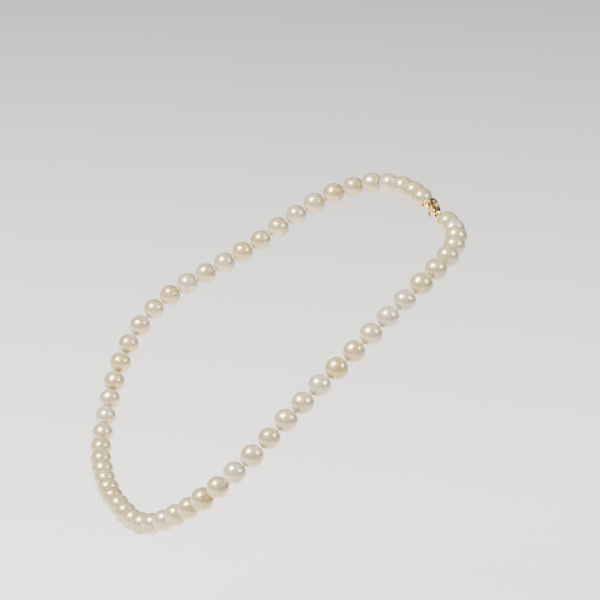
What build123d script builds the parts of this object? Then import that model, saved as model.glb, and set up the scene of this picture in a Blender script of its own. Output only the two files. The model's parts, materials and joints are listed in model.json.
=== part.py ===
from build123d import *
from math import acos, cos, degrees, pi, radians, sin
import os

# Single-strand pearl necklace, closed and hanging as it is worn, in millimetres.
# +Z is up, the wearer faces -Y and +X is the wearer's left. The origin is on the neck's
# centre line, level with the strand where it passes the sides of the neck.

# Strand
pearls_per_side = 29
fixed_pearls_each_end = 5
knot_gap = 0.36
pearl_roundness = 0.985
length_wander = 0.016
fine_length_wander = 0.012
width_wander = 0.02
blunt_end_wander = 0.02
profile_steps = 4
thread_radius = 0.25
bore_clearance = 0.05
knot_radius = 0.62
knot_length = 0.25
knot_edge_radius = 0.09
thread_bend_reach = 0.12

# Clasp rings and the loops of French wire that they hang in
loop_radius = 1.1
loop_reach = 1.9
loop_opening = 1.1
french_wire_clearance = 0.02
french_wire_radius = 0.42
ring_wire_radius = 0.35
jump_ring_radius = 1.65
end_ring_radius = 2.1
link_clearance = 0.05
hooked_clearance = 0.30

# Lobster claw, lying along X with its tail eye towards the wearer's left
claw_thickness = 2.4
claw_tip_thickness = 1.3
taper_start = 4.5
eye_radius = 0.75
eye_wire_radius = 0.3
waist_radius = 1.35
waist_from_eye = 2.4
hook_outer_radius = 3.1
hook_radius = 2.1
hook_from_eye = 6.9
claw_edge_round = 0.3
gate_end_angle = -50
gate_root_angle = -128
gate_reach_from_pivot = 4.72
slot_width = 1.2
slot_start = 1.75
slot_end = 5.7

# Lever, its rivet and its return spring
lever_width = 1.0
lever_inner_radius = 2.2
lever_outer_radius = 3.0
lever_end_gap = 0.06
lever_root_angle = -158
lever_root_radius = 0.42
pivot_from_eye = 3.3
pivot_drop = 0.3
lever_hub_radius = 0.75
rivet_radius = 0.35
rivet_head_radius = 0.62
rivet_head_height = 0.16
thumb_tab_lean = 0.3
thumb_tab_rise = 2.9
thumb_tab_radius = 0.5
spring_thickness = 0.12
spring_width = 0.8
spring_back_gap = 0.02
spring_hub_gap = 0.09
spring_foot_drop = 0.9
spring_fold_rise = 1.0
spring_tip_drop = 0.2

# The strand's line on the wearer's left half, from the middle of the chest to the clasp.
chest_middle = (0, -61.5, -58.5)
left_side = [
    (17, -60.5, -58),
    (33.5, -58, -56),
    (47.5, -53, -49),
    (59.5, -47, -40),
    (68, -38.5, -29),
    (68.5, -27, -18),
    (63, -14.5, -9),
    (58, -1.5, 0),
    (54.5, 11.5, 10),
    (49.5, 24.5, 19),
    (39.5, 36.5, 24.5),
    (25.5, 42.5, 26),
]
nape_y = 43.5
nape_z = 26

# The clasp is built up link by link from the middle of a French wire loop.
ring_to_loop = ring_wire_radius + link_clearance
loop_tip_inside = loop_radius - french_wire_radius
left_ring_middle = -loop_tip_inside + ring_to_loop - jump_ring_radius
wire_in_eye = eye_radius - ring_wire_radius - link_clearance
eye_middle = left_ring_middle - jump_ring_radius - wire_in_eye
wire_in_hook = hook_radius - ring_wire_radius - hooked_clearance
hooked_at = eye_middle - hook_from_eye - wire_in_hook
end_ring_middle = hooked_at - end_ring_radius
right_loop_middle = end_ring_middle - end_ring_radius + ring_to_loop - loop_tip_inside
loop_x = -right_loop_middle / 2
strand_end_x = loop_x + loop_reach


def mirrored(point):
    """The same place on the other side of the neck."""
    return (-point[0], point[1], point[2])


def strand_line():
    """The whole strand's line, from the clasp's left end round the front to its right end."""
    left_end = (strand_end_x, nape_y, nape_z)
    left_half = [left_end] + left_side[::-1]
    right_half = [mirrored(point) for point in reversed(left_half)]
    return Spline(*left_half, chest_middle, *right_half)


def pearl_spread():
    """How much longer or shorter than the usual each pearl is, as a share of its pitch."""
    wander = []
    for index in range(2 * pearls_per_side):
        slow_part = length_wander * sin(2.4 * index)
        fine_part = fine_length_wander * sin(5.3 * index + 1)
        wander.append(slow_part + fine_part)
    return wander


def knot_places():
    """Where the thread bends: at each end of the strand and at each knot between two pearls."""
    line = strand_line()
    shares = [1 + wander for wander in pearl_spread()]
    pitch = line.length / sum(shares)
    places = [line.position_at(0)]
    distance = 0
    for share in shares:
        distance += share * pitch
        places.append(line.position_at(distance, PositionMode.LENGTH))
    return places


def pearl(start, end, index):
    """An off-round pearl between two knots, drilled along the thread."""
    middle = (start + end) / 2
    length = (end - start).length - knot_gap
    width = length * (pearl_roundness + width_wander * sin(3.7 * index))
    blunt_end = length * (0.5 + blunt_end_wander * sin(1.9 * index))
    bore_radius = thread_radius + bore_clearance
    pole = degrees(acos(2 * bore_radius / width))
    rim = []
    for step in range(-profile_steps, profile_steps + 1):
        angle = radians(pole * step / profile_steps)
        reach = blunt_end if step < 0 else length - blunt_end
        rim.append((width / 2 * cos(angle), 0, reach * sin(angle)))
    outline = make_face([Spline(*rim), Line(rim[-1], rim[0])])
    body = revolve(outline, Axis.Z)
    centring = Pos(0, 0, blunt_end - length / 2)
    return Plane(origin=middle, z_dir=end - start).location * centring * body


def knot(before, place, after):
    """A tight overhand knot that fills the gap between two pearls."""
    tangent = (place - before).normalized() + (after - place).normalized()
    body = Cylinder(knot_radius, knot_length)
    body = fillet(body.edges().filter_by(GeomType.CIRCLE), knot_edge_radius)
    return Plane(origin=place, z_dir=tangent).location * body


def thread_path(places):
    """Straight through each pearl, with a small tangent arc inside each knot."""
    edges = []
    start = places[0]
    for before, bend, after in zip(places, places[1:], places[2:]):
        inward = (bend - before).normalized()
        outward = (after - bend).normalized()
        arc_start = bend - inward * thread_bend_reach
        arc_end = bend + outward * thread_bend_reach
        edges.append(Line(start, arc_start))
        edges.append(TangentArc(arc_start, arc_end, tangent=inward))
        start = arc_end
    edges.append(Line(start, places[-1]))
    return Wire(edges)


def silk_thread(places):
    """One thread through every pearl, ending in a loop inside each French wire."""
    left_end = Vector(loop_x + loop_radius, nape_y, nape_z)
    right_end = Vector(-loop_x - loop_radius, nape_y, nape_z)
    path = thread_path([left_end] + places + [right_end])
    section = Plane(origin=path @ 0, z_dir=path % 0) * Circle(thread_radius)
    body = sweep(section, path=path)
    plain_volume = pi * thread_radius**2 * path.length
    print(f"thread {path.length:.1f} mm long, volume over plain {body.volume / plain_volume:.4f}")
    return body + [upright_loop(side, thread_radius) for side in (1, -1)]


def upright_loop(side, wire_radius):
    """A round loop at one end of the strand; side is 1 for the left and -1 for the right."""
    return Pos(side * loop_x, nape_y, nape_z) * Rot(90, 0, 0) * Torus(loop_radius, wire_radius)


def french_wire(side):
    """The fine coil of wire that shields the thread where the clasp's ring wears on it."""
    body = upright_loop(side, french_wire_radius)
    body -= upright_loop(side, thread_radius + french_wire_clearance)
    opening = Pos(side * (loop_x + loop_radius), nape_y, nape_z)
    return body - opening * Box(loop_radius, 2 * loop_radius, loop_opening)


def flat_ring(middle_x, radius):
    """A round wire ring that lies level, so it links two upright loops."""
    return Pos(middle_x, nape_y, nape_z) * Torus(radius, ring_wire_radius)


# The claw's outlines are drawn with u from the eye towards the hook and w upwards.
claw_plane = Plane(
    origin=(loop_x + eye_middle, nape_y, nape_z), x_dir=(-1, 0, 0), z_dir=(0, 1, 0)
)


def claw_solid(profile, thickness):
    """A profile in the claw's plane, made thick to both sides."""
    return claw_plane.location * extrude(profile, thickness / 2, both=True)


def ring_point(radius, angle):
    """A point at an angle about the middle of the hook."""
    return (hook_from_eye + radius * cos(radians(angle)), radius * sin(radians(angle)))


def hook_arc(radius, start_angle, end_angle):
    """An arc about the middle of the hook."""
    middle_angle = (start_angle + end_angle) / 2
    return ThreePointArc(
        ring_point(radius, start_angle),
        ring_point(radius, middle_angle),
        ring_point(radius, end_angle),
    )


def hook_sector(radius, start_angle, end_angle):
    """A pie slice about the middle of the hook, for cutting its rim."""
    arc = hook_arc(radius, start_angle, end_angle)
    centre = (hook_from_eye, 0)
    return make_face([arc, Line(arc @ 1, centre), Line(centre, arc @ 0)])


def claw_body():
    """A cast lobster claw: eye, two cheeks with a slot between them, and a hook."""
    waist = Pos(waist_from_eye, 0) * Circle(waist_radius)
    rim = Pos(hook_from_eye, 0) * Circle(hook_outer_radius)
    shell = extrude(make_hull(waist.edges() + rim.edges()), claw_thickness, both=True)
    back = -2 * waist_radius
    front = hook_from_eye + 2 * hook_outer_radius
    tip = hook_from_eye + hook_outer_radius
    half_thickness = claw_thickness / 2
    slope = (claw_thickness - claw_tip_thickness) / 2 / (tip - taper_start)
    front_half = half_thickness - slope * (front - taper_start)
    side = Polyline(
        (back, half_thickness),
        (taper_start, half_thickness),
        (front, front_half),
        (front, -front_half),
        (taper_start, -half_thickness),
        (back, -half_thickness),
        close=True,
    )
    shell &= Plane.XZ * extrude(make_face(side), 2 * hook_outer_radius, both=True)
    flat_faces = shell.faces().filter_by(GeomType.PLANE)
    cheeks = flat_faces.filter_by(lambda face: abs(face.normal_at().Z) > 0.5)
    rim_edges = [edge for edge in cheeks.edges() if abs(edge.tangent_at(0.5).Y) < 0.999]
    body = fillet(rim_edges, claw_edge_round)
    body += Torus(eye_radius + eye_wire_radius, eye_wire_radius)
    body -= extrude(Pos(hook_from_eye, 0) * Circle(hook_radius), claw_thickness, both=True)
    gate = hook_sector(2 * hook_outer_radius, gate_end_angle, gate_root_angle)
    gate &= Pos(pivot_from_eye, -pivot_drop) * Circle(gate_reach_from_pivot)
    body -= extrude(gate, claw_thickness, both=True)
    slot_middle = (slot_start + slot_end) / 2
    slot_length = slot_end - slot_start
    body -= Pos(slot_middle, 0, 0) * Box(slot_length, 4 * hook_outer_radius, slot_width)
    body -= Pos(pivot_from_eye, -pivot_drop, 0) * Cylinder(rivet_radius, 2 * claw_thickness)
    return claw_plane.location * body


def claw_lever():
    """The sprung gate: a curved arm that closes the hook, a hub and a thumb tab."""
    outer = hook_arc(lever_outer_radius, gate_end_angle, lever_root_angle)
    inner = hook_arc(lever_inner_radius, gate_end_angle, lever_root_angle)
    arm = make_face([outer, Line(outer @ 1, inner @ 1), inner, Line(inner @ 0, outer @ 0)])
    pivot = Pos(pivot_from_eye, -pivot_drop)
    arm &= pivot * Circle(gate_reach_from_pivot - lever_end_gap)
    hub = pivot * Circle(lever_hub_radius)
    arm_middle_radius = (lever_inner_radius + lever_outer_radius) / 2
    root = Pos(*ring_point(arm_middle_radius, lever_root_angle)) * Circle(lever_root_radius)
    neck = make_hull(hub.edges() + root.edges())
    tab_top = Pos(pivot_from_eye - thumb_tab_lean, thumb_tab_rise) * Circle(thumb_tab_radius)
    tab_root = pivot * Circle(thumb_tab_radius)
    tab = make_hull(tab_top.edges() + tab_root.edges())
    profile = arm + hub + neck + tab
    profile -= pivot * Circle(rivet_radius + bore_clearance)
    return claw_solid(profile, lever_width)


def lever_rivet():
    """The lever's pin, headed over on both cheeks."""
    body = Cylinder(rivet_radius, claw_thickness)
    for side in (1, -1):
        head_middle = side * (claw_thickness + rivet_head_height) / 2
        body += Pos(0, 0, head_middle) * Cylinder(rivet_head_radius, rivet_head_height)
    return claw_plane.location * Pos(pivot_from_eye, -pivot_drop, 0) * body


def lever_spring():
    """A folded strip of spring steel between the slot's end and the lever's hub."""
    back = slot_start + spring_thickness / 2 + spring_back_gap
    beside_hub = pivot_from_eye - lever_hub_radius - spring_hub_gap
    fold = Polyline(
        (back, -spring_foot_drop),
        (back, spring_fold_rise),
        (beside_hub, -spring_tip_drop),
    )
    strip = trace(fold, line_width=spring_thickness)
    return claw_solid(strip, spring_width)


places = knot_places()
pearls = [pearl(places[i], places[i + 1], i) for i in range(2 * pearls_per_side)]
knots = [knot(*places[i - 1:i + 2]) for i in range(1, 2 * pearls_per_side)]
turns = [
    (places[i] - places[i - 1]).get_angle(places[i + 1] - places[i])
    for i in range(1, 2 * pearls_per_side)
]
print(f"strand {strand_line().length:.1f} mm, turns {min(turns):.2f} to {max(turns):.2f} degrees")
print(f"clasp takes {2 * strand_end_x:.1f} mm between the end pearls")

nodes = {
    "silk_thread": silk_thread(places),
    "silk_knots": Compound(children=knots),
    "end_pearls_left": Compound(children=pearls[:fixed_pearls_each_end]),
    "end_pearls_right": Compound(children=pearls[-fixed_pearls_each_end:]),
    "french_wire_left": french_wire(1),
    "french_wire_right": french_wire(-1),
    "claw_jump_ring": flat_ring(loop_x + left_ring_middle, jump_ring_radius),
    "end_ring": flat_ring(loop_x + end_ring_middle, end_ring_radius),
    "claw_body": claw_body(),
    "claw_lever": claw_lever(),
    "lever_rivet": lever_rivet(),
    "lever_spring": lever_spring(),
}
for index in range(fixed_pearls_each_end, 2 * pearls_per_side - fixed_pearls_each_end):
    nodes[f"pearl_{index + 1:02d}"] = pearls[index]

os.makedirs("parts", exist_ok=True)
for name, solid in nodes.items():
    export_step(solid, f"parts/{name}.step")
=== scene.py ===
"""Pearl necklace: the looks of a single knotted strand with a sprung claw clasp at the nape."""
import json
import random
from math import cos, exp, pi, radians, sin, tau

import bmesh
import bpy
from mathutils import Matrix, Vector, noise


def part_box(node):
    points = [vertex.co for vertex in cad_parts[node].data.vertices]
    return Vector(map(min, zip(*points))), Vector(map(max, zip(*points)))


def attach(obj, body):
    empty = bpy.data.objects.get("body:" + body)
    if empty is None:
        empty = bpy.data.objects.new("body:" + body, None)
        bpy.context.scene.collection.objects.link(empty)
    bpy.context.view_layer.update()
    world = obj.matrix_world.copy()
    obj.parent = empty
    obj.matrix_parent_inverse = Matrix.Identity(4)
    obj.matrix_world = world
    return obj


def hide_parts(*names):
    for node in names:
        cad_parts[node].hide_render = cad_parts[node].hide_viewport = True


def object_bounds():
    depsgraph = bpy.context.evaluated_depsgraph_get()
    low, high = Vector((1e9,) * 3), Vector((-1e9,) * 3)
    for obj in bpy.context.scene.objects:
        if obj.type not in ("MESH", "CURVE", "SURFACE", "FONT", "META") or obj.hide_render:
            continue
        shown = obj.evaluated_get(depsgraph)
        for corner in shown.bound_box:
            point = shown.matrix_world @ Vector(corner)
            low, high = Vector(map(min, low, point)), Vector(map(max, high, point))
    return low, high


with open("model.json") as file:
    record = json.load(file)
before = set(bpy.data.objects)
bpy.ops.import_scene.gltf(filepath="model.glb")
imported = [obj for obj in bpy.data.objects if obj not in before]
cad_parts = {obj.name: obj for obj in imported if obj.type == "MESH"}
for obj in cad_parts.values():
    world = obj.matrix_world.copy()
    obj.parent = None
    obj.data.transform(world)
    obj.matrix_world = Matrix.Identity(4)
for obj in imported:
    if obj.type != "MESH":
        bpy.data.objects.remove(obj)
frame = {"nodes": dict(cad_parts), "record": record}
cad_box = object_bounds()

MM = 0.001
STRAND = "strand"

# Camera and floor, in degrees and metres, with the lens in millimetres
CAMERA_AZIMUTH = 75.4
CAMERA_ELEVATION = 18.4
CAMERA_DISTANCE = 0.903
CAMERA_LENS = 173.6
FLOOR_DROP = 0.085

# A pearl's drilled hole, in metres, and how far its mouth dips, as a share of the half length
BORE_RADIUS = 0.30 * MM
MOUTH_DIP = 0.04

# How a pearl strays from a ball, on a ball of radius 1: broad and fine swellings, how much of
# them shows along its length, a lean towards one end, and a growth ring on about half of them
OFF_ROUND = 0.030
BROAD_SWELLINGS = 1.1
FINE_SWELLINGS = 3.1
FINE_SHARE = 0.4
LENGTHWISE_SHARE = 0.3
LEAN = 0.045
RING_DEPTH = 0.010
RING_DEPTHS = (0, 0, 1, 1.6)
RING_WIDTH = 0.09
RING_REACH = 0.55
POLE_HEIGHT = 0.999
SEED_RANGE = (0, 50)
SHAPE_SEED = 1000
TINT_SEED = 77
TINT_SEED_STEP = 13

# A knot of silk cord, in millimetres, and how far each knot is turned from the one before it
KNOT_STEPS = 24
KNOT_REACH = 0.34
KNOT_REACH_SWING = 0.12
KNOT_DEPTH_SWING = 0.06
KNOT_CORD_RADIUS = 0.14
KNOT_SPIN = 1.7

# The thread's end loops, and the coils of wire on them
LOOP_RADIUS = 1.1 * MM
LOOP_OUTER_RADIUS = 1.52 * MM
COIL_RADIUS = 0.34 * MM
COIL_WIRE_RADIUS = 0.075 * MM
COIL_OPENING = radians(38)
COIL_TURNS = 30
COIL_STEPS_A_TURN = 12

# The thread: its run through the pearls, its end loops and the two plies beside each loop
THREAD_RADIUS = 0.22 * MM
LOOP_THREAD_RADIUS = 0.20 * MM
LOOP_STEPS = 32
PLY_RADIUS = 0.12 * MM
PLY_OFFSET = 0.11 * MM
PLY_STEPS = 40
PLY_TWISTS = 3
PLY_INSIDE_PEARL = 0.2

# A direction that no cord or wire runs along, which the rings of a tube are squared to
ASKEW = Vector((0.31, 0.17, 0.94))


# ---------------------------------------------------------------- frame helpers

def solids_of(node):
    """The vertex positions of each separate solid in a CAD node."""
    shape = bmesh.new()
    shape.from_mesh(frame["nodes"][node].data)
    bmesh.ops.remove_doubles(shape, verts=shape.verts, dist=0.002 * MM)
    waiting = dict.fromkeys(shape.verts)
    groups = []
    while waiting:
        reached = [waiting.popitem()[0]]
        group = []
        while reached:
            vertex = reached.pop()
            group.append(vertex.co.copy())
            for edge in vertex.link_edges:
                other = edge.other_vert(vertex)
                if other in waiting:
                    del waiting[other]
                    reached.append(other)
        groups.append(group)
    shape.free()
    return groups


def box_middle(points):
    """The middle of the box round some points."""
    low = Vector([min(point[axis] for point in points) for axis in range(3)])
    high = Vector([max(point[axis] for point in points) for axis in range(3)])
    return (low + high) / 2


def chain_from(start, places):
    """The places in the order that the strand reaches them, nearest first."""
    waiting = list(places)
    chain = []
    here = start
    while waiting:
        here = min(waiting, key=lambda place: (place - here).length)
        waiting.remove(here)
        chain.append(here)
    return chain


def node_middle(node):
    """The middle of a CAD node's box."""
    low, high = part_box(node)
    return (Vector(low) + Vector(high)) / 2


def finished(name, shape, material, smooth=True):
    """A mesh object at the origin, with its place in its mesh."""
    mesh = bpy.data.meshes.new(name)
    shape.to_mesh(mesh)
    shape.free()
    for face in mesh.polygons:
        face.use_smooth = smooth
    mesh.materials.append(material)
    piece = bpy.data.objects.new(name, mesh)
    bpy.context.scene.collection.objects.link(piece)
    return piece


# ---------------------------------------------------------------- materials

class Nodes:
    """A small helper that adds and wires shader nodes."""

    # The Mix node's colour sockets, which share their names with its number sockets
    MIX_FACTOR, MIX_FIRST, MIX_SECOND, MIX_RESULT = 0, 6, 7, 2

    def __init__(self, name):
        self.material = bpy.data.materials.new(name)
        self.material.use_nodes = True
        self.tree = self.material.node_tree
        self.shader = self.tree.nodes["Principled BSDF"]
        self.coords = self.tree.nodes.new("ShaderNodeTexCoord").outputs["Object"]

    def link(self, source, target):
        """Joins an output to an input."""
        self.tree.links.new(source, target)

    def feed(self, source, socket):
        """Joins an output to one of the shader's sockets."""
        self.link(source, self.shader.inputs[socket])

    def noise(self, scale, detail=2.0, roughness=0.5, distortion=0.0, stretch=None):
        """A cloudy pattern, fixed to the piece."""
        node = self.tree.nodes.new("ShaderNodeTexNoise")
        node.inputs["Scale"].default_value = scale
        node.inputs["Detail"].default_value = detail
        node.inputs["Roughness"].default_value = roughness
        node.inputs["Distortion"].default_value = distortion
        source = self.coords
        if stretch:
            mapping = self.tree.nodes.new("ShaderNodeMapping")
            mapping.inputs["Scale"].default_value = stretch
            self.link(self.coords, mapping.inputs["Vector"])
            source = mapping.outputs["Vector"]
        self.link(source, node.inputs["Vector"])
        return node.outputs["Fac"]

    def ramp(self, factor, stops):
        """Colours picked by a pattern's value."""
        node = self.tree.nodes.new("ShaderNodeValToRGB")
        ramp = node.color_ramp
        while len(ramp.elements) < len(stops):
            ramp.elements.new(0.5)
        for element, (place, color) in zip(ramp.elements, stops):
            element.position = place
            element.color = (*color, 1)
        self.link(factor, node.inputs["Fac"])
        return node.outputs["Color"]

    def multiply(self, first, second):
        """One colour darkened by another."""
        node = self.tree.nodes.new("ShaderNodeMix")
        node.data_type = "RGBA"
        node.blend_type = "MULTIPLY"
        node.inputs[self.MIX_FACTOR].default_value = 1.0
        self.link(first, node.inputs[self.MIX_FIRST])
        self.link(second, node.inputs[self.MIX_SECOND])
        return node.outputs[self.MIX_RESULT]

    def span(self, factor, low, high, from_low=0.3, from_high=0.7):
        """A pattern's value, stretched to run from low to high."""
        node = self.tree.nodes.new("ShaderNodeMapRange")
        node.inputs["From Min"].default_value = from_low
        node.inputs["From Max"].default_value = from_high
        node.inputs["To Min"].default_value = low
        node.inputs["To Max"].default_value = high
        self.link(factor, node.inputs["Value"])
        return node.outputs["Result"]

    def bump(self, height, strength, distance, below=None):
        """Shallow relief, laid over any relief below it."""
        node = self.tree.nodes.new("ShaderNodeBump")
        node.inputs["Strength"].default_value = strength
        node.inputs["Distance"].default_value = distance
        self.link(height, node.inputs["Height"])
        if below:
            self.link(below, node.inputs["Normal"])
        return node.outputs["Normal"]

    def set(self, **values):
        """Sets the shader's own sockets, with spaces written as underscores."""
        for name, value in values.items():
            self.shader.inputs[name.replace("_", " ")].default_value = value


def nacre(name, body, glow, flush):
    """Freshwater nacre: cloudy layers of body colour, glow and flush under a satin skin."""
    look = Nodes(name)
    clouds = look.noise(scale=170, detail=3, distortion=0.6)
    layers = look.ramp(clouds, [(0.30, body), (0.50, glow), (0.70, flush)])
    fine = look.noise(scale=900, detail=4, roughness=0.6)
    grain = look.ramp(fine, [(0.35, (0.93, 0.92, 0.90)), (0.62, (1.0, 1.0, 1.0))])
    look.feed(look.multiply(layers, grain), "Base Color")
    look.feed(look.span(fine, low=0.24, high=0.34), "Roughness")
    waves = look.noise(scale=430, detail=2)
    pores = look.noise(scale=2600, detail=3, roughness=0.65)
    wavy = look.bump(waves, strength=0.22, distance=0.00016)
    look.feed(look.bump(pores, strength=0.12, distance=0.00003, below=wavy), "Normal")
    look.set(Metallic=0.38, IOR=1.60, Coat_Weight=0.8, Coat_Roughness=0.13, Coat_IOR=1.6)
    look.set(Subsurface_Weight=0.15, Subsurface_Radius=(1.0, 0.72, 0.45), Subsurface_Scale=0.0014)
    look.set(Sheen_Weight=0.12, Sheen_Roughness=0.4, Sheen_Tint=(1.0, 0.93, 0.90, 1))
    look.set(Thin_Film_Thickness=420.0, Thin_Film_IOR=1.42)
    return look.material


def silk(name, color, shade):
    """Twisted silk: soft fibres with a faint sheen."""
    look = Nodes(name)
    fibres = look.noise(scale=5200, detail=4, roughness=0.7, stretch=(1.0, 1.0, 0.35))
    look.feed(look.ramp(fibres, [(0.30, shade), (0.65, color)]), "Base Color")
    look.feed(look.span(fibres, low=0.62, high=0.82), "Roughness")
    look.feed(look.bump(fibres, strength=0.5, distance=0.00003), "Normal")
    look.set(Sheen_Weight=0.35, Sheen_Roughness=0.35)
    return look.material


def polished_metal(name, color, worn, low=0.12, high=0.20):
    """Polished plate with faint polishing marks and softly worn patches."""
    look = Nodes(name)
    wear = look.noise(scale=650, detail=3, roughness=0.6)
    look.feed(look.ramp(wear, [(0.40, color), (0.72, worn)]), "Base Color")
    marks = look.noise(scale=3800, detail=3, roughness=0.6, stretch=(0.6, 1.0, 1.0))
    look.feed(look.span(marks, low, high), "Roughness")
    look.feed(look.bump(marks, strength=0.04, distance=0.000004), "Normal")
    look.set(Metallic=1.0)
    return look.material


# For each finish in the record, the looks that a pearl of that finish may take:
# body colour, glow and flush
NACRE_TINTS = {
    "nacre_white": [
        ("cool_white", (0.49, 0.40, 0.27), (0.61, 0.53, 0.39), (0.50, 0.39, 0.29)),
        ("ivory_white", (0.49, 0.38, 0.20), (0.59, 0.48, 0.29), (0.47, 0.38, 0.19)),
    ],
    "nacre_cream": [
        ("soft_cream", (0.48, 0.35, 0.155), (0.57, 0.45, 0.23), (0.45, 0.35, 0.15)),
        ("green_cream", (0.45, 0.37, 0.17), (0.55, 0.47, 0.26), (0.42, 0.36, 0.16)),
    ],
    "nacre_rose": [
        ("rosy_white", (0.50, 0.38, 0.24), (0.60, 0.49, 0.33), (0.50, 0.37, 0.24)),
        ("blush_cream", (0.49, 0.37, 0.20), (0.58, 0.47, 0.28), (0.49, 0.36, 0.20)),
    ],
}
slot_of_node = {part["node"]: part["material_slot"] for part in frame["record"]["subparts"]}
nacre_looks = {slot: [nacre(*tint) for tint in tints] for slot, tints in NACRE_TINTS.items()}
silk_look = silk("cream_silk", (0.90, 0.80, 0.58), (0.76, 0.64, 0.42))
gold_look = polished_metal("gold_plate", (0.92, 0.68, 0.33), (0.86, 0.61, 0.28))
wire_look = polished_metal("french_wire_gold", (0.93, 0.70, 0.36), (0.85, 0.60, 0.28),
                           low=0.16, high=0.30)
spring_look = polished_metal("spring_steel", (0.66, 0.65, 0.63), (0.50, 0.49, 0.48),
                             low=0.20, high=0.36)


# ---------------------------------------------------------------- pearls

def pearl_piece(name, start, end, points, material, number):
    """An off-round pearl on its stretch of thread, with a drilled hole along the axis."""
    axis = (end - start).normalized()
    middle = (start + end) / 2
    half_length = max(abs((point - middle).dot(axis)) for point in points)
    half_width = max((point - middle).cross(axis).length for point in points)
    chance = random.Random(SHAPE_SEED + number)
    seed = Vector([chance.uniform(*SEED_RANGE) for _ in range(3)])
    lean = chance.uniform(-LEAN, LEAN)
    ring_height = chance.uniform(-RING_REACH, RING_REACH)
    ring_depth = RING_DEPTH * chance.choice(RING_DEPTHS)

    pearl = bmesh.new()
    bmesh.ops.create_uvsphere(pearl, u_segments=36, v_segments=24, radius=1)
    poles = [vertex for vertex in pearl.verts if abs(vertex.co.z) > POLE_HEIGHT]
    bmesh.ops.delete(pearl, geom=poles, context="VERTS")
    for vertex in pearl.verts:
        height = vertex.co.z
        swell = 1 + OFF_ROUND * noise.noise(vertex.co * BROAD_SWELLINGS + seed)
        swell += FINE_SHARE * OFF_ROUND * noise.noise(vertex.co * FINE_SWELLINGS + seed)
        swell -= ring_depth * exp(-((height - ring_height) / RING_WIDTH) ** 2)
        across = Vector((vertex.co.x, vertex.co.y, 0)) * swell * (1 + lean * height)
        along = height * (1 + LENGTHWISE_SHARE * (swell - 1))
        vertex.co = Vector((across.x, across.y, along))
    bmesh.ops.scale(pearl, verts=pearl.verts, vec=(half_width, half_width, half_length))

    rims = [edge for edge in pearl.edges if edge.is_boundary]
    lip = bmesh.ops.extrude_edge_only(pearl, edges=rims)["geom"]
    lip_edges = [item for item in lip if isinstance(item, bmesh.types.BMEdge)]
    for vertex in dict.fromkeys(vertex for edge in lip_edges for vertex in edge.verts):
        flat = Vector((vertex.co.x, vertex.co.y, 0)).normalized() * BORE_RADIUS
        vertex.co = Vector((flat.x, flat.y, vertex.co.z * (1 - MOUTH_DIP)))
    bmesh.ops.bridge_loops(pearl, edges=[edge for edge in lip_edges if edge.is_boundary])
    bmesh.ops.recalc_face_normals(pearl, faces=pearl.faces)

    turn = Vector((0, 0, 1)).rotation_difference(axis).to_matrix().to_4x4()
    spin = Matrix.Rotation(chance.uniform(0, tau), 4, "Z")
    bmesh.ops.transform(pearl, verts=pearl.verts, matrix=Matrix.Translation(middle) @ turn @ spin)
    piece = finished(name, pearl, material)
    smoother = piece.modifiers.new("smooth_skin", "SUBSURF")
    smoother.levels = 1
    smoother.render_levels = 1
    return piece


# The knots give each pearl's ends, from the clasp's left side round the front to its right.
left_loop = node_middle("french_wire_left")
right_loop = node_middle("french_wire_right")
knot_places = chain_from(left_loop, [box_middle(points) for points in solids_of("silk_knots")])
last_pearl = len(knot_places)

cad_pearls = []
for node in ("end_pearls_left", "end_pearls_right"):
    cad_pearls += [(node, STRAND, points) for points in solids_of(node)]
for node in frame["nodes"]:
    if node.startswith("pearl_"):
        points = [vertex.co.copy() for vertex in frame["nodes"][node].data.vertices]
        cad_pearls.append((node, node, points))

pearl_middles = []
for number in range(last_pearl + 1):
    start = knot_places[max(number - 1, 0)]
    end = knot_places[min(number, last_pearl - 1)]
    guess = (start + end) / 2
    node, body, points = min(cad_pearls, key=lambda pearl: (box_middle(pearl[2]) - guess).length)
    cad_pearls.remove((node, body, points))
    pearl_middles.append(box_middle(points))
    if number == 0:
        start = 2 * box_middle(points) - end
    if number == last_pearl:
        end = 2 * box_middle(points) - start
    slot = slot_of_node[node]
    material = random.Random(TINT_SEED + TINT_SEED_STEP * number).choice(nacre_looks[slot])
    piece = pearl_piece(f"nacre_pearl_{number + 1:02d}", start, end, points, material, number)
    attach(piece, body)
    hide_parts(node)


# ---------------------------------------------------------------- silk knots

def edges_of(ring):
    """The edges that join a ring's vertices to each other."""
    met = dict.fromkeys(edge for vertex in ring for edge in vertex.link_edges)
    return [edge for edge in met if all(vertex in ring for vertex in edge.verts)]


def tube_along(shape, points, radius, sides, closed):
    """Adds a round tube through a list of points, with capped ends unless it closes on itself."""
    rings = []
    count = len(points)
    for index, point in enumerate(points):
        if closed:
            ahead, behind = points[(index + 1) % count], points[index - 1]
        else:
            ahead, behind = points[min(index + 1, count - 1)], points[max(index - 1, 0)]
        tangent = (ahead - behind).normalized()
        side = tangent.cross(ASKEW).normalized()
        other = tangent.cross(side)
        circle = bmesh.ops.create_circle(shape, cap_ends=False, segments=sides, radius=radius)
        basis = Matrix((side, other, tangent)).transposed().to_4x4()
        ring = circle["verts"]
        bmesh.ops.transform(shape, verts=ring, matrix=Matrix.Translation(point) @ basis)
        rings.append(ring)
    following = rings[1:] + rings[:1] if closed else rings[1:]
    for first, second in zip(rings, following):
        bmesh.ops.bridge_loops(shape, edges=edges_of(first) + edges_of(second))
    if not closed:
        for ring in (rings[0], rings[-1]):
            bmesh.ops.contextual_create(shape, geom=ring)


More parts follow.
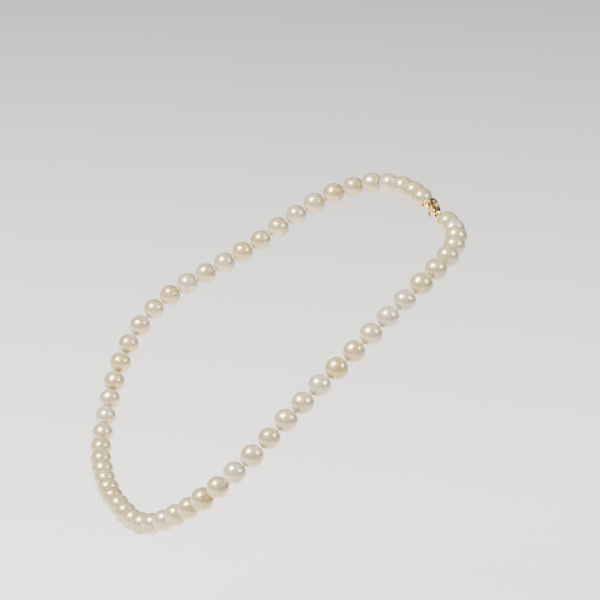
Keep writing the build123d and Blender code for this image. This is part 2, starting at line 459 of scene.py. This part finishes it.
def knot_turns(place, axis, spin):
    """An overhand knot pulled tight: two turns round the thread that cross three times."""
    side = axis.orthogonal().normalized()
    other = axis.cross(side)
    points = []
    for step in range(KNOT_STEPS):
        turn = tau * step / KNOT_STEPS
        reach = KNOT_REACH + KNOT_REACH_SWING * cos(3 * turn)
        depth = KNOT_DEPTH_SWING * sin(3 * turn)
        spread = 2 * turn + spin
        flat = side * cos(spread) + other * sin(spread)
        points.append(place + (flat * reach + axis * depth) * MM)
    return points


knots = bmesh.new()
for index, place in enumerate(knot_places):
    before = knot_places[index - 1] if index else left_loop
    after = knot_places[index + 1] if index + 1 < len(knot_places) else right_loop
    axis = (after - before).normalized()
    turns = knot_turns(place, axis, KNOT_SPIN * index)
    tube_along(knots, turns, KNOT_CORD_RADIUS * MM, sides=6, closed=True)
bmesh.ops.recalc_face_normals(knots, faces=knots.faces)
knot_piece = finished("tied_silk_knots", knots, silk_look)
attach(knot_piece, STRAND)
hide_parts("silk_knots")


# ---------------------------------------------------------------- French wire coils

def loop_middle(node, side):
    """The middle of an end loop, from the box of its French wire, which is open on one side."""
    low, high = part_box(node)
    middle_x = low[0] + LOOP_OUTER_RADIUS if side > 0 else high[0] - LOOP_OUTER_RADIUS
    return Vector((middle_x, (low[1] + high[1]) / 2, (low[2] + high[2]) / 2))


def coil_piece(name, node, side):
    """A fine coil of wire bent round the thread's end loop, open where the thread enters."""
    middle = loop_middle(node, side)
    steps = COIL_STEPS_A_TURN * COIL_TURNS
    points = []
    for step in range(steps + 1):
        share = step / steps
        around = COIL_OPENING + (tau - 2 * COIL_OPENING) * share
        twist = tau * COIL_TURNS * share
        outward = Vector((side * cos(around), 0, sin(around)))
        offset = outward * cos(twist) + Vector((0, 1, 0)) * sin(twist)
        points.append(middle + outward * LOOP_RADIUS + offset * COIL_RADIUS)
    coil = bmesh.new()
    tube_along(coil, points, COIL_WIRE_RADIUS, sides=6, closed=False)
    bmesh.ops.recalc_face_normals(coil, faces=coil.faces)
    piece = finished(name, coil, wire_look)
    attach(piece, STRAND)
    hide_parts(node)


coil_piece("coiled_wire_left", "french_wire_left", 1)
coil_piece("coiled_wire_right", "french_wire_right", -1)


# ---------------------------------------------------------------- silk thread

def thread_end(shape, side, middle, mouth, inside):
    """The thread's loop in the French wire, and two twisted plies from it into the end pearl."""
    loop = []
    for step in range(LOOP_STEPS):
        around = tau * step / LOOP_STEPS
        loop.append(middle + Vector((cos(around), 0, sin(around))) * LOOP_RADIUS)
    tube_along(shape, loop, LOOP_THREAD_RADIUS, sides=8, closed=True)
    start = middle + Vector((side * LOOP_RADIUS, 0, 0))
    for ply in (0, pi):
        points = []
        for step in range(PLY_STEPS + 1):
            share = step / PLY_STEPS
            if share < 0.5:
                centre = start.lerp(mouth, share * 2)
            else:
                centre = mouth.lerp(inside, share * 2 - 1)
            twist = ply + PLY_TWISTS * tau * share
            offset = Vector((0, cos(twist), sin(twist)))
            points.append(centre + offset * PLY_OFFSET)
        tube_along(shape, points, PLY_RADIUS, sides=7, closed=False)


def thread_piece():
    """The silk thread: a run through every pearl, with a looped, twisted end at each side."""
    first_mouth = 2 * pearl_middles[0] - knot_places[0]
    last_mouth = 2 * pearl_middles[-1] - knot_places[-1]
    first_inside = first_mouth.lerp(knot_places[0], PLY_INSIDE_PEARL)
    last_inside = last_mouth.lerp(knot_places[-1], PLY_INSIDE_PEARL)
    thread = bmesh.new()
    run = [first_mouth, *knot_places, last_mouth]
    tube_along(thread, run, THREAD_RADIUS, sides=8, closed=False)
    thread_end(thread, 1, loop_middle("french_wire_left", 1), first_mouth, first_inside)
    thread_end(thread, -1, loop_middle("french_wire_right", -1), last_mouth, last_inside)
    bmesh.ops.recalc_face_normals(thread, faces=thread.faces)
    piece = finished("twisted_silk_thread", thread, silk_look)
    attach(piece, STRAND)
    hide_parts("silk_thread")


thread_piece()


# ---------------------------------------------------------------- carried-over CAD nodes

def dress(node, material):
    """Gives a CAD node its finish."""
    for slot in frame["nodes"][node].material_slots:
        slot.material = material


for node in ("claw_jump_ring", "end_ring", "claw_body", "claw_lever", "lever_rivet"):
    dress(node, gold_look)
dress("lever_spring", spring_look)


# ---------------------------------------------------------------- studio

def area_light(name, place, aim, size, power, color):
    """A soft panel of light that faces a point, and that the camera doesn't see."""
    lamp = bpy.data.lights.new(name, "AREA")
    lamp.shape = "RECTANGLE"
    lamp.size, lamp.size_y = size
    lamp.energy = power
    lamp.color = color
    light = bpy.data.objects.new(name, lamp)
    light.location = place
    light.rotation_euler = (Vector(aim) - Vector(place)).to_track_quat("-Z", "Y").to_euler()
    light.visible_camera = False
    bpy.context.scene.collection.objects.link(light)


def camera_back():
    """The direction from the necklace to the camera."""
    azimuth, elevation = radians(CAMERA_AZIMUTH), radians(CAMERA_ELEVATION)
    return Vector((sin(azimuth) * cos(elevation), -cos(azimuth) * cos(elevation), sin(elevation)))


def place_camera():
    """A long lens at the viewing angle, aimed at the frame's origin."""
    lens = bpy.data.cameras.new("camera")
    lens.lens = CAMERA_LENS
    lens.sensor_width = 36
    lens.clip_start = 0.01
    camera = bpy.data.objects.new("camera", lens)
    camera.location = camera_back() * CAMERA_DISTANCE
    camera.rotation_euler = (-camera_back()).to_track_quat("-Z", "Y").to_euler()
    bpy.context.scene.collection.objects.link(camera)
    bpy.context.scene.camera = camera


def pale_floor():
    """A plain pale sweep well below the strand."""
    sheet = bmesh.new()
    bmesh.ops.create_grid(sheet, x_segments=1, y_segments=1, size=3)
    bmesh.ops.translate(sheet, verts=sheet.verts, vec=(0, 0, cad_box[0][2] - FLOOR_DROP))
    paint = Nodes("pale_floor")
    paint.set(Base_Color=(0.88, 0.87, 0.85, 1), Roughness=0.9)
    floor = finished("floor", sheet, paint.material, smooth=False)


def studio():
    """A soft key on the left, a small panel on the right, a warm glow inside and a dim room."""
    right = Vector((cos(radians(CAMERA_AZIMUTH)), sin(radians(CAMERA_AZIMUTH)), 0))
    back = camera_back()
    up = Vector((0, 0, 1))
    key = -right * 0.55 + up * 0.85 + back * 0.35
    fill = right * 0.9 + up * 0.55 + back * 0.35
    middle = (0, 0, 0)
    area_light("key_panel", key, middle, size=(0.52, 0.52), power=54.0, color=(1.0, 0.985, 0.96))
    area_light("right_panel", fill, middle, size=(0.20, 0.32), power=13.0, color=(1.0, 0.99, 0.98))
    # Light that comes up from below, as off the skin and clothes that a necklace lies on
    area_light("warm_bounce", (0, 0.02, -0.08), (0, 0.02, 0),
               size=(0.16, 0.16), power=0.16, color=(1.0, 0.52, 0.16))
    world = bpy.data.worlds.new("room")
    world.use_nodes = True
    surround = world.node_tree.nodes["Background"]
    surround.inputs["Color"].default_value = (0.86, 0.86, 0.85, 1)
    surround.inputs["Strength"].default_value = 0.16
    bpy.context.scene.world = world


pale_floor()
place_camera()
studio()
